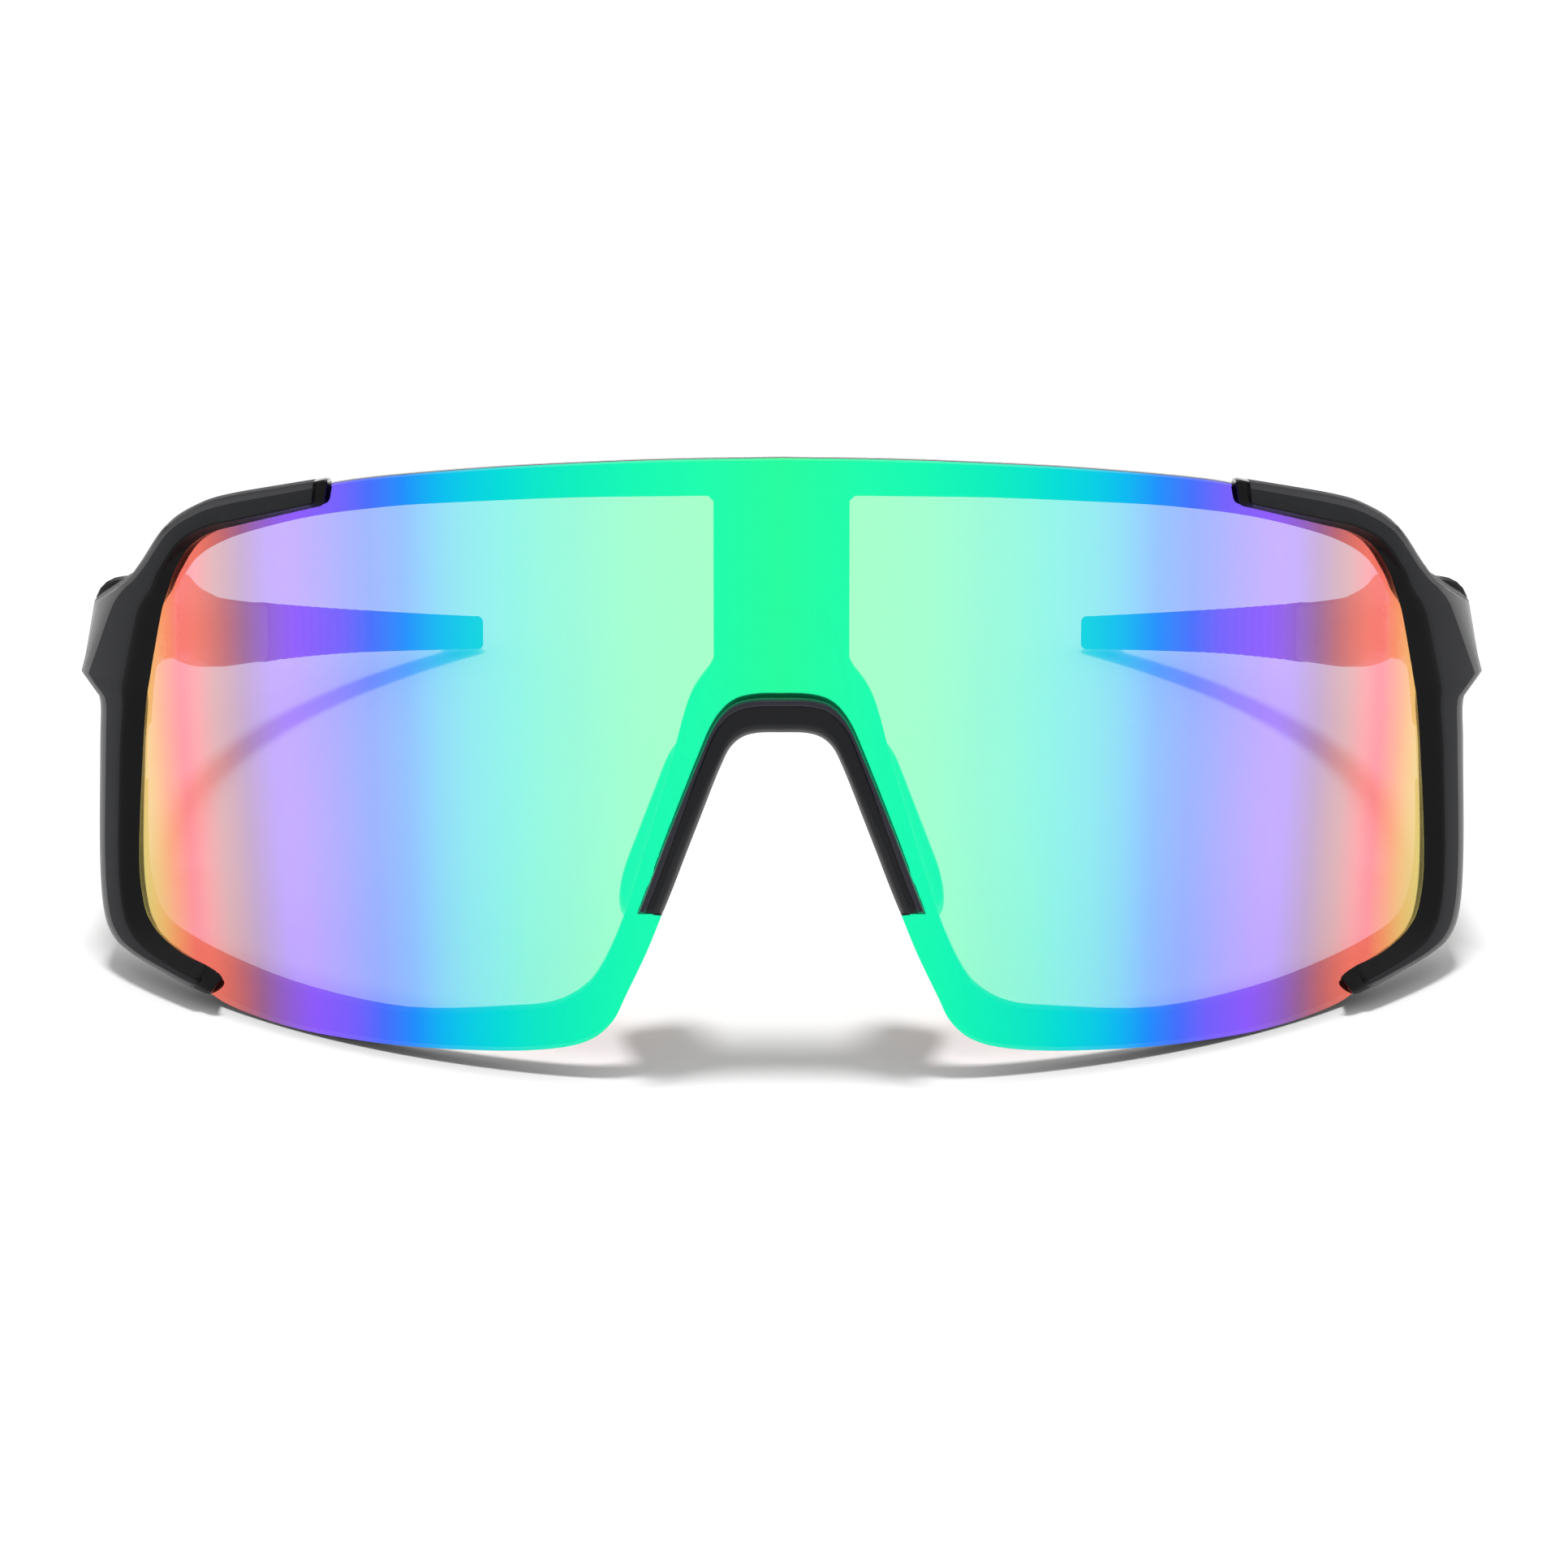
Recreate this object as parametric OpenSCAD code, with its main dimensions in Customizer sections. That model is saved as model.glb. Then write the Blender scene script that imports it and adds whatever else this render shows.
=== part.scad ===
// Wraparound sport sunglasses with one curved shield lens and two folding temples.
// Sizes in millimetres.  X points to the wearer's left, Y backwards, Z up.
// Every piece is drawn with the lens upright, then set down leaning back as it rests.

/* [Front] */
// Overall width over the hinge lugs
frame_width = 146; // [122:1:176]
// Height of the lens from its lobes to its crown
lens_height = 59.6; // [49:0.2:72]
// Lens radius as a share of the overall width
lens_curve = 0.589; // [0.575:0.001:0.72]
// Thickness of the lens
lens_thickness = 1.8; // [1.4:0.1:2.2]
// Depth of the rear frame behind the lens
rim_depth = 2.6; // [2:0.1:3.2]
// How far the rear frame stands out round the lens
rim_overhang = 0.3; // [0.1:0.05:0.5]
// Thickness of the side clamps in front of the lens
clamp_lip = 1.2; // [0.8:0.1:1.8]
// Gap between the lens and the seat it is held in
lens_gap = 0.05; // [0.02:0.01:0.1]
// Half width of the upright bar between the eye windows
bar_half_width = 6.6; // [5:0.1:7.6]
// Backward lean of the lens at rest
lean = 9; // [6:0.5:11]

/* [Nose piece] */
// Thickness of the saddle in front of the lens
saddle_lip = 1.3; // [0.8:0.1:1.8]
// Thickness of the saddle wall through the nose opening
saddle_wall = 0.8; // [0.6:0.05:1.2]
// Width of the saddle flange behind the rear frame
saddle_flange = 2.6; // [2.2:0.1:3]
// Thickness of a nose pad
pad_thickness = 2; // [1.6:0.1:2.4]
// Reach of a nose pad behind the saddle
pad_reach = 10; // [7:0.5:12]
// Length of a nose pad along its leg
pad_length = 19; // [15:0.5:21]
// Outward splay of a nose pad
pad_splay = 14; // [10:1:26]

/* [Temples] */
// Reach of a temple behind its hinge pin
temple_reach = 102.5; // [84:0.5:124]
// Thickness of a temple
temple_thickness = 3.8; // [3.2:0.1:4.6]
// Depth of a temple at the hinge
temple_front_height = 9.2; // [7.6:0.1:10.2]
// Depth of a temple at its tip
temple_tip_height = 4; // [3.3:0.1:5]
// Inward travel of the temple tip
tip_inset = 30.5; // [22:0.5:37]
// Where the ear grip starts, as a share of the reach
grip_start = 0.62; // [0.5:0.01:0.75]
// Wall of the rubber ear grip
grip_wall = 0.8; // [0.5:0.05:1]

/* [Hinges] */
// Radius of the hinge knuckles
knuckle_radius = 2; // [1.6:0.05:2.1]
// Height of the middle knuckle
knuckle_height = 3; // [2.4:0.1:3.4]
// Gap between neighbouring knuckles
knuckle_gap = 0.1; // [0.05:0.01:0.2]
// Radius of the hinge screw shank
pin_radius = 0.7; // [0.5:0.05:0.9]
// Running gap round the shank in the middle knuckle
pin_gap = 0.04; // [0.02:0.01:0.08]
// Thickness of the hinge leaves
leaf_thickness = 1.2; // [0.8:0.1:1.4]
// Radius of the small leaf screw heads
leaf_screw_head = 1; // [0.8:0.05:1.2]
// Radius of the small leaf screw shanks
leaf_screw_shank = 0.5; // [0.35:0.05:0.6]
// Gap between the temple end and the lug it stops against
stop_gap = 0.15; // [0.05:0.05:0.3]

/* [Hidden] */
$fn = 96;

wide = frame_width / 146;
tall = lens_height / 59.6;
half_width = frame_width / 2;
lens_radius = frame_width * lens_curve;
lens_back = lens_radius - lens_thickness;
rim_front = lens_back - lens_gap;
rim_back = rim_front - rim_depth;
lip_front = lens_radius + lens_gap + clamp_lip;
saddle_front = lens_radius + lens_gap + saddle_lip;
flange_front = rim_back - lens_gap;
flange_back = flange_front - 0.75;
side_angle = asin((half_width - 1.9 * wide) / lip_front) + 3.4;
lens_side_angle = asin(68.6 * wide / lens_radius);
block = 400;

// The hinge sits behind the lug at the height of the lug's middle.
hinge_height = 36.5 * tall;
side_depth = lens_radius - rim_back * cos(side_angle);
lug_back = side_depth + 4.4;
pin_x = half_width - 6.7;
pin_y = lug_back + 2.4;
leaf_face = pin_x + 0.3;
temple_middle = half_width - 4.5;
temple_front = lug_back + stop_gap;
temple_end = pin_y + temple_reach;
bend_start = pin_y + 28;
bend_rise = temple_end - bend_start;
bend_radius = (tip_inset * tip_inset + bend_rise * bend_rise) / (2 * tip_inset);
outer_knuckle = 2.4;

// Smooth curve through a row of points.
function between(a, b, c, d, t) =
    0.5 * (2 * b + (c - a) * t + (2 * a - 5 * b + 4 * c - d) * t * t
           + (3 * b - a - 3 * c + d) * t * t * t);
function smooth(p, n) = concat(
    [for (i = [0:len(p) - 2]) for (k = [0:n - 1])
        between(p[max(i - 1, 0)], p[i], p[i + 1], p[min(i + 2, len(p) - 1)], k / n)],
    [p[len(p) - 1]]);
// A row of points moved sideways by d.
function side_of(p, i) =
    let (v = p[i][0] == 0 ? [i == 0 ? 1 : -1, 0]
                          : p[min(i + 1, len(p) - 1)] - p[max(i - 1, 0)])
    [-v[1], v[0]] / norm(v);
function shifted(p, d) = [for (i = [0:len(p) - 1]) p[i] + d * side_of(p, i)];
function fitted(p) = [for (q = p) [q[0] * wide, q[1] * tall]];
function mirrored(p) = [for (i = [len(p) - 1:-1:0]) [-p[i][0], p[i][1]]];
// Both halves of an outline whose ends lie on the centre line.
function full(p) = concat(p, [for (i = [len(p) - 2:-1:1]) [-p[i][0], p[i][1]]]);
// An outline open at the foot, with its top on the centre line, closed by a foot point.
function arch(p, foot) = concat([foot], p,
    [for (i = [len(p) - 2:-1:0]) [-p[i][0], p[i][1]]], [[-foot[0], foot[1]]]);

// Half outlines seen from the front.
lens_edge = smooth(fitted([
    [0, 58.3], [8.1, 58.15], [14.3, 57.9], [20.7, 57.5], [27, 57], [33.5, 56.3],
    [40.1, 55.4], [44.7, 54.5], [49.5, 53.1], [55, 51.3], [60, 48.8], [63.6, 45.4],
    [66.2, 41.2], [67.9, 36], [69.4, 29], [70.3, 20], [69.9, 12], [68.2, 7.9],
    [65.4, 5.4], [62, 3.5], [60, 2.2], [58, 1.05], [56, 0.3], [52, -0.5], [47.7, -1],
    [43.4, -1.2], [39.1, -1.3], [34.9, -1.25], [30.8, -1.1], [26.4, -0.85],
    [22.6, -0.4], [20, 0.2], [18, 1.2], [16.4, 2.9], [15.4, 5], [14.2, 7.5],
    [13.1, 9.9], [11.9, 12.9], [10.7, 16], [9.3, 19.7], [7.9, 23.3], [6.9, 25.9],
    [6, 28.1], [5.1, 29.9], [3.9, 31], [2.3, 31.45], [0, 31.5]]), 2);
saddle_inner = smooth(fitted([
    [11.7, 13.5], [10.7, 16], [9.3, 19.7], [7.9, 23.3], [6.9, 25.9], [6, 28.1],
    [5.1, 29.9], [3.9, 31], [2.3, 31.45], [0, 31.5]]), 2);
saddle_outer = smooth(fitted([
    [14.1, 13.5], [12.9, 16.6], [11.3, 20.9], [9.4, 25.7], [8.1, 28.9], [6.9, 31.7],
    [5.8, 33.4], [4.4, 34.5], [2.4, 34.95], [0, 35]]), 2);
window_edge = concat(
    [[bar_half_width * wide, 54.4 * tall]],
    smooth(fitted([
        [8.1, 54.4], [20.7, 54], [33.6, 53], [40.1, 52.2], [46.9, 50.9], [53.9, 49.2],
        [58, 47.9], [60.6, 46.1], [62.2, 43.6], [63.7, 39.5], [64.8, 34.5], [65.6, 28],
        [66.2, 21], [66.4, 14], [65.9, 10], [64.3, 7], [61, 5.5], [55.5, 4],
        [47.6, 2.5], [37.4, 1.7], [27.5, 2.7], [22.6, 3.5], [19.6, 5.2], [17.9, 7.3],
        [16.3, 10.6], [15.1, 13.9], [13.1, 20.4], [10.7, 28.5], [9.4, 33.3],
        [8.4, 35.7], [7, 37.6]]), 2),
    [[bar_half_width * wide, 38.1 * tall]]);
frame_edge = concat(
    shifted([for (q = lens_edge) if (q[1] > 54 * tall && q[0] < 44.6 * wide) q], rim_overhang),
    smooth(fitted([
        [44.7, 55.05], [49.5, 53.95], [55.5, 52.5], [59, 51.2], [62.6, 48.8], [66, 44.4],
        [68.2, 41.6], [70.2, 38], [70.7, 32], [71.1, 22], [71.2, 12], [70.9, 8], [69.8, 5.2],
        [67.6, 3.8], [63.7, 2.5], [60.8, 1.5]]), 2),
    shifted([for (q = lens_edge) if (q[1] < 31.6 * tall && q[0] < 58.5 * wide) q],
            rim_overhang));
// What the side clamps leave open in front of the lens.
clamp_opening = concat(
    [[0, 80 * tall], [44.9 * wide, 80 * tall], [44.9 * wide, 53.6 * tall]],
    smooth(fitted([
        [45.3, 52.5], [46.3, 51.8], [51, 50.7], [58.3, 48.4], [60.4, 46.5], [62.2, 43],
        [63.4, 39.5], [64.9, 32.6], [65.5, 27.5], [66.1, 22.3], [66.5, 17], [66.5, 12],
        [65.9, 8.8], [64.3, 6.2], [61.3, 4.7], [58.4, 3.95], [56.9, 3.3], [56.8, 2.4],
        [57.5, 1.5], [58.4, 0.6]]), 2),
    [[60.4 * wide, -2 * tall], [60.4 * wide, -30 * tall], [0, -30 * tall]]);
lug_outline = fitted([
    [64, 42.2], [67.6, 42.2], [70.3, 40.6], [71.5, 39.7], [72.1, 36.9], [73, 32.3],
    [70.9, 30.4], [64, 30.4]]);

// The front rests on the lower rear edge of its two lobes and on the temple tips.
function edge_drop(p) = p[1] * cos(lean) - (lens_radius
    - sqrt(rim_back * rim_back - p[0] * p[0])) * sin(lean);
rest_height = -min([for (p = shifted(lens_edge, rim_overhang)) edge_drop(p)]);
front_reach = (13.5 * tall) * sin(lean) - (saddle_lip + lens_gap) * cos(lean);
tip_low = (temple_end * sin(lean) - rest_height) / cos(lean);
tip_middle = tip_low + temple_tip_height / 2;
back_reach = temple_end * cos(lean) + tip_middle * sin(lean);
rest_middle = (front_reach + back_reach) / 2;

// Side outline of a temple: share of its length, then height above and below its line.
function temple_at(u, rise) =
    [temple_front + u * (temple_end - temple_front),
     hinge_height + u * (tip_middle - hinge_height) + rise];
function temple_side(inset) =
    let (f = temple_front_height / 9.2, t = temple_tip_height / 4,
         e = 1 - inset / temple_reach)
    concat(
        [temple_at(0, 4.7 * f - inset), temple_at(0.17, 5.4 * f - inset)],
        [temple_at(0.346, 5.8 * f - inset), temple_at(0.38, 5.2 * f - inset)],
        [temple_at(0.46, 3.9 * f - inset), temple_at(0.5, 3.4 * f - inset)],
        [temple_at(0.62, 3.05 * f - inset), temple_at(0.8, 2.55 * f - inset)],
        [temple_at(e - 0.015, 2 * t - inset), temple_at(e - 0.004, 1.7 * t - inset)],
        [temple_at(e, 1.1 * t - inset), temple_at(e, -0.6 * t + inset)],
        [temple_at(e - 0.006, -1.5 * t + inset), temple_at(e - 0.02, -2 * t + inset)],
        [temple_at(0.9, -2.2 * t + inset), temple_at(0.8, -2.6 * f + inset)],
        [temple_at(0.7, -3.25 * f + inset), temple_at(0.62, -3.85 * f + inset)],
        [temple_at(0.5, -4.6 * f + inset), temple_at(0.46, -4.5 * f + inset)],
        [temple_at(0.346, -3.5 * f + inset), temple_at(0.17, -4 * f + inset)],
        [temple_at(0, -4.5 * f + inset)]);

module at_rest() {
    translate([0, -rest_middle, rest_height])
        rotate([-lean, 0, 0])
            children();
}

module other_side() {
    mirror([1, 0, 0])
        children();
}

// A front outline carried straight back through the piece.
module through(points) {
    translate([0, block / 2, 0])
        rotate([90, 0, 0])
            linear_extrude(block)
                polygon(points);
}

// A curved wall between two radii about the lens axis.
module wall(outer, inner, angle) {
    translate([0, lens_radius, -block / 4])
        rotate([0, 0, 270 - angle])
            rotate_extrude(angle = 2 * angle)
                translate([inner, 0])
                    square([outer - inner, block / 2]);
}

// A temple side outline carried across its width.
module across(points) {
    translate([temple_middle - tip_inset - 8, 0, 0])
        rotate([90, 0, 90])
            linear_extrude(tip_inset + 16)
                polygon(points);
}

module upright(radius, low, high) {
    translate([pin_x, pin_y, hinge_height + low])
        cylinder(r = radius, h = high - low);
}

// The rear frame and its side clamps are one curved wall, opened in front for the lens.
module main_frame() {
    color([0.11, 0.115, 0.12])
        difference() {
            union() {
                intersection() {
                    wall(lip_front, rim_back, side_angle);
                    through(full(frame_edge));
                }
                hinge_lug();
                other_side()
                    hinge_lug();
            }
            intersection() {
                wall(lip_front + 2, lens_radius - 0.65 * lens_thickness, side_angle + 4);
                through(full(clamp_opening));
            }
            lens_seat();
            eye_window();
            other_side()
                eye_window();
            saddle_channel();
            leaf_screw_set(lug_face_spots(), leaf_face, 0.02);
            other_side()
                leaf_screw_set(lug_face_spots(), leaf_face, 0.02);
        }
}

module eye_window() {
    intersection() {
        wall(lens_radius - lens_thickness / 2, rim_back - 2, side_angle + 4);
        through(window_edge);
    }
}

module hinge_lug() {
    front = lens_radius - sqrt(lip_front * lip_front - pow(half_width - 3.6, 2));
    intersection() {
        through(lug_outline);
        translate([0, 0, hinge_height - 20])
            linear_extrude(40)
                polygon([
                    [leaf_face, side_depth - 5.5],
                    [half_width - 3.6, front + 1.1],
                    [half_width - 0.9, front + 3.1],
                    [half_width, front + 6],
                    [half_width, lug_back],
                    [leaf_face, lug_back]]);
    }
}

module lens_seat() {
    intersection() {
        wall(lens_radius + lens_gap, rim_front, lens_side_angle + 0.1);
        through(full(shifted(lens_edge, lens_gap)));
    }
}

module saddle_channel() {
    edge = shifted(saddle_inner, -saddle_wall - lens_gap);
    foot_height = saddle_inner[0][1] - 0.02 - lens_gap;
    through(arch(edge, [edge[0][0] + 0.2, foot_height]));
}

module shield_lens() {
    color([0.25, 0.85, 0.75])
        difference() {
            intersection() {
                wall(lens_radius, lens_back, lens_side_angle);
                through(full(lens_edge));
            }
            saddle_channel();
        }
}

// The saddle clips over the edge of the nose opening: a lip in front of the lens, a wall
// through the opening and a flange behind the rear frame.
module nose_saddle() {
    color([0.07, 0.07, 0.08])
        union() {
            difference() {
                intersection() {
                    wall(saddle_front, flange_back, 20);
                    through(arch(saddle_outer, saddle_outer[0] + [0.02, -0.02]));
                }
                saddle_opening();
                difference() {
                    wall(lens_radius + lens_gap, flange_front, 21);
                    saddle_wall_block();
                }
            }
            pad_pegs(0.6, 3);
            other_side()
                pad_pegs(0.6, 3);
        }
}

module saddle_opening() {
    through(arch(saddle_inner, saddle_inner[0] + [0.5, -2]));
}

module saddle_wall_block() {
    edge = shifted(saddle_inner, -saddle_wall);
    through(arch(edge, edge[0] + [0.4, -2]));
}

function reversed(p) = [for (i = [len(p) - 1:-1:0]) p[i]];

// Places a child on a leg of the saddle: Z along the leg, Y backwards and outwards.
module on_leg() {
    top = saddle_inner[8];
    foot = saddle_inner[0];
    middle = (top + foot) / 2;
    x = middle[0] + saddle_flange / 2;
    translate([x, lens_radius - sqrt(flange_back * flange_back - x * x), middle[1]])
        rotate([0, -atan2(foot[0] - top[0], top[1] - foot[1]), 0])
            rotate([0, 0, -pad_splay])
                children();
}

module pad_pegs(radius, length) {
    for (z = [-4.5, 4.5])
        on_leg()
            translate([0, -0.3, z])
                rotate([-90, 0, 0])
                    cylinder(r = radius, h = length + 0.3, $fn = 48);
}

function corner(y, z, r, from) = [for (a = [from:15:from + 90]) [y + r * cos(a), z + r * sin(a)]];

module nose_pad_body() {
    low = -pad_length / 2;
    high = pad_length / 2;
    difference() {
        intersection() {
            on_leg()
                translate([-pad_thickness / 2, 0, 0])
                    rotate([90, 0, 90])
                        linear_extrude(pad_thickness)
                            polygon(concat(
                                [[-2, low + 1], [-2, high - 2]],
                                [[1, high]],
                                reversed(corner(pad_reach - 4, high - 4, 4, 0)),
                                reversed(corner(pad_reach - 5, low + 5, 5, 270)),
                                [[1, low]]));
            translate([0, lens_radius, -block / 4])
                cylinder(r = flange_back - 0.03, h = block / 2, $fn = 192);
        }
        pad_pegs(0.63, 3.1);
    }
}

module nose_pad_left() {
    color([0.32, 0.33, 0.34])
        nose_pad_body();
}

module nose_pad_right() {
    color([0.32, 0.33, 0.34])
        other_side()
            nose_pad_body();
}

// The plan of a temple: straight behind the hinge, then one steady inward bend.
module temple_plan(inset) {
    low = tip_middle - 30;
    outer = temple_middle + temple_thickness / 2 - inset;
    inner = temple_middle - temple_thickness / 2 + inset;
    translate([0, 0, low])
        linear_extrude(80)
            polygon([
                [half_width - 0.4, temple_front], [outer, bend_start],
                [inner, bend_start], [leaf_face, pin_y + 14],
                [leaf_face, pin_y + knuckle_radius + 0.9],
                [pin_x + knuckle_radius + 0.3, pin_y + knuckle_radius - 0.1],
                [pin_x + knuckle_radius + 0.3, temple_front]]);
    intersection() {
        translate([temple_middle - bend_radius, bend_start, low])
            difference() {
                cylinder(r = bend_radius + temple_thickness / 2 - inset, h = 80, $fn = 360);
                translate([0, 0, -1])
                    cylinder(r = bend_radius - temple_thickness / 2 + inset, h = 82, $fn = 360);
            }
        translate([temple_middle - tip_inset - 8, bend_start, low])
            cube([tip_inset + 16, bend_rise + 5, 80]);
    }
}

module temple_blank(inset) {
    intersection() {
        across(temple_side(inset));
        temple_plan(inset);
    }
}

module behind(y) {
    translate([0, y, tip_middle - 60])
        cube([half_width + 20, block / 2, 150]);
}

grip_y = temple_front + grip_start * (temple_end - temple_front);

module temple_body() {
    difference() {
        union() {
            difference() {
                temple_blank(0);
                behind(grip_y);
            }
            temple_blank(grip_wall);
        }
        leaf_screw_set(temple_face_spots(), leaf_face, 0.02);
    }
}

module grip_body() {
    difference() {
        intersection() {
            temple_blank(0);
            behind(grip_y + 0.02);
        }
        temple_blank(grip_wall - 0.02);
    }
}

module temple_left() {
    color([0.13, 0.135, 0.14])
        temple_body();
}

module temple_right() {
    color([0.13, 0.135, 0.14])
        other_side()
            temple_body();
}

module ear_grip_left() {
    color([0.2, 0.2, 0.21])
        grip_body();
}

module ear_grip_right() {
    color([0.2, 0.2, 0.21])
        other_side()
            grip_body();
}

// Hinge leaves are thin plates with knuckles curled round the pin.
function stack_half() = knuckle_height / 2 + knuckle_gap + outer_knuckle;
function lug_face_spots() = [[pin_y - 5.4, 2.5], [pin_y - 5.4, -2.5]];
function temple_face_spots() = [[pin_y + 5.6, -0.4], [pin_y + 9.8, -0.8]];

module leaf_plate(from, to, low, high) {
    translate([leaf_face - 0.03 - leaf_thickness, from, hinge_height + low])
        cube([leaf_thickness, to - from, high - low]);
}

module leaf_screw_set(spots, face, gap) {
    for (s = spots)
        translate([face - leaf_thickness - 0.03, s[0], hinge_height + s[1]])
            rotate([0, 90, 0])
                cylinder(r = leaf_screw_shank + gap, h = 3.4 + gap, $fn = 48);
}

module leaf_screw_heads(spots) {
    for (s = spots)
        translate([leaf_face - leaf_thickness - 0.53, s[0], hinge_height + s[1]])
            rotate([0, 90, 0])
                difference() {
                    cylinder(r1 = leaf_screw_head * 0.8, r2 = leaf_screw_head, h = 0.5, $fn = 48);
                    translate([-0.15, -leaf_screw_head, -0.1])
                        cube([0.3, 2 * leaf_screw_head, 0.35]);
                }
}

module frame_leaf() {
    difference() {
        union() {
            leaf_plate(lug_back - 6.6, lug_back - 0.2, -stack_half(), stack_half());
            for (side = [-1, 1]) {
                low = side > 0 ? knuckle_height / 2 + knuckle_gap : -stack_half();
                high = low + outer_knuckle;
                upright(knuckle_radius, low, high);
                leaf_plate(lug_back - 0.3, pin_y, low, high);
            }
        }
        upright(pin_radius + 0.02, -stack_half() - 1, stack_half() + 1);
        leaf_screw_set(lug_face_spots(), leaf_face, 0.02);
    }
}

module temple_leaf() {
    reach = knuckle_height / 2;
    difference() {
        union() {
            leaf_plate(pin_y + knuckle_radius + 0.5, pin_y + 12, -3, 2.2);
            upright(knuckle_radius, -reach, reach);
            leaf_plate(pin_y, pin_y + knuckle_radius + 0.6, -reach, reach);
        }
        upright(pin_radius + pin_gap, -stack_half(), stack_half());
        leaf_screw_set(temple_face_spots(), leaf_face, 0.02);
    }
}

module hinge_screw() {
    head = stack_half() + 0.8;
    upright(pin_radius, -stack_half(), stack_half() + 0.1);
    difference() {
        upright(2 * pin_radius, stack_half() + 0.02, head);
        translate([pin_x - 2, pin_y - 0.2, hinge_height + head - 0.35])
            cube([4, 0.4, 1]);
    }
}

module leaf_screws(spots) {
    union() {
        leaf_screw_set(spots, leaf_face, 0);
        leaf_screw_heads(spots);
    }
}

metal = [0.72, 0.72, 0.74];

module frame_leaf_left() {
    color(metal)
        frame_leaf();
}

module frame_leaf_right() {
    color(metal)
        other_side()
            frame_leaf();
}

module temple_leaf_left() {
    color(metal)
        temple_leaf();
}

module temple_leaf_right() {
    color(metal)
        other_side()
            temple_leaf();
}

module hinge_screw_left() {
    color(metal)
        hinge_screw();
}

module hinge_screw_right() {
    color(metal)
        other_side()
            hinge_screw();
}

module frame_leaf_screws_left() {
    color(metal)
        leaf_screws(lug_face_spots());
}

module frame_leaf_screws_right() {
    color(metal)
        other_side()
            leaf_screws(lug_face_spots());
}

module temple_leaf_screws_left() {
    color(metal)
        leaf_screws(temple_face_spots());
}

module temple_leaf_screws_right() {
    color(metal)
        other_side()
            leaf_screws(temple_face_spots());
}

at_rest() main_frame();
at_rest() shield_lens();
at_rest() nose_saddle();
at_rest() nose_pad_left();
at_rest() nose_pad_right();
at_rest() temple_left();
at_rest() temple_right();
at_rest() ear_grip_left();
at_rest() ear_grip_right();
at_rest() frame_leaf_left();
at_rest() frame_leaf_right();
at_rest() temple_leaf_left();
at_rest() temple_leaf_right();
at_rest() hinge_screw_left();
at_rest() hinge_screw_right();
at_rest() frame_leaf_screws_left();
at_rest() frame_leaf_screws_right();
at_rest() temple_leaf_screws_left();
at_rest() temple_leaf_screws_right();
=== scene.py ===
from math import atan2, cos, pi, radians, sin, sqrt

import bmesh
import bpy
from mathutils import Matrix, Vector


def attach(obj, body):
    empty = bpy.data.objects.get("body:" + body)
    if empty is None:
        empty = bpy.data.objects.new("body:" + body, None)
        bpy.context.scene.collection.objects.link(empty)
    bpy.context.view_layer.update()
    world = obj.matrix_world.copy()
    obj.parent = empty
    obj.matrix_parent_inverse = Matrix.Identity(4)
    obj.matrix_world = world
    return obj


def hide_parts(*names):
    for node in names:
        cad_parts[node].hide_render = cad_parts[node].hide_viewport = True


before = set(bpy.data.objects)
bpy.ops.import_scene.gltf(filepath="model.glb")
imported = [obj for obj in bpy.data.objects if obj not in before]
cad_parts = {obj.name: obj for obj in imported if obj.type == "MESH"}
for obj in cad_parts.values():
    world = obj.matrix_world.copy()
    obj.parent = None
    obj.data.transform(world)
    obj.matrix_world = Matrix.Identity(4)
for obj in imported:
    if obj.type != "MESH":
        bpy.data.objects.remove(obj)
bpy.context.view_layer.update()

MM = 0.001

# Sizes in millimetres, drawn with the lens upright, as the part is drawn.
# The lens: radius of its front face, thickness, and the sideways place where its ends are cut.
RADIUS = 85.994
LENS = 1.8
LENS_END = 68.6
# Depths behind the lens face of the seat that holds it and of the frame's back.
SEAT = 1.86
RIM_BACK = 4.45
# The lean at rest, and how far the upright drawing then moves up and forwards.
LEAN = radians(9)
REST_UP = 4.436
REST_BACK = 77.173
# Height of the hinges, and the back of the lugs that they sit behind.
PIN_HEIGHT = 36.5
LUG_BACK = 47.162
# The straight legs of the nose opening: half width and height at the head and at the foot.
LEG_HEAD = (6.9, 25.9)
LEG_FOOT = (11.7, 13.5)



# ---------------------------------------------------------------- placing

def at_rest(x, y, z):
    """A point of the upright drawing, set down leaning back as the glasses rest."""
    back = y * cos(LEAN) + z * sin(LEAN) - REST_BACK
    up = z * cos(LEAN) - y * sin(LEAN) + REST_UP
    return Vector((x, back, up)) * MM


def on_shell(x, depth, z):
    """A point at sideways place x, a depth behind the lens face, at height z."""
    r = RADIUS - depth
    return x, RADIUS - sqrt(max(0.0, r * r - x * x)), z


def curve(points, steps):
    """A smooth row of points through the given ones, both ends kept."""
    rows = []
    last = len(points) - 1
    for i in range(last):
        a, b = points[max(i - 1, 0)], points[i]
        c, d = points[i + 1], points[min(i + 2, last)]
        for k in range(steps):
            t = k / steps
            rows.append(tuple(
                0.5 * (2 * q + (r - p) * t + (2 * p - 5 * q + 4 * r - s) * t * t
                       + (3 * q - p - 3 * r + s) * t ** 3)
                for p, q, r, s in zip(a, b, c, d)))
    rows.append(tuple(points[-1]))
    return rows


def between(a, b, share):
    """The point a share of the way from one to the other."""
    return tuple(p + (q - p) * share for p, q in zip(a, b))


def line(points, steps):
    """A row of points along the straight lines through the given ones."""
    rows = []
    for a, b in zip(points, points[1:]):
        rows += [between(a, b, k / steps) for k in range(steps)]
    rows.append(tuple(points[-1]))
    return rows


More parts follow.
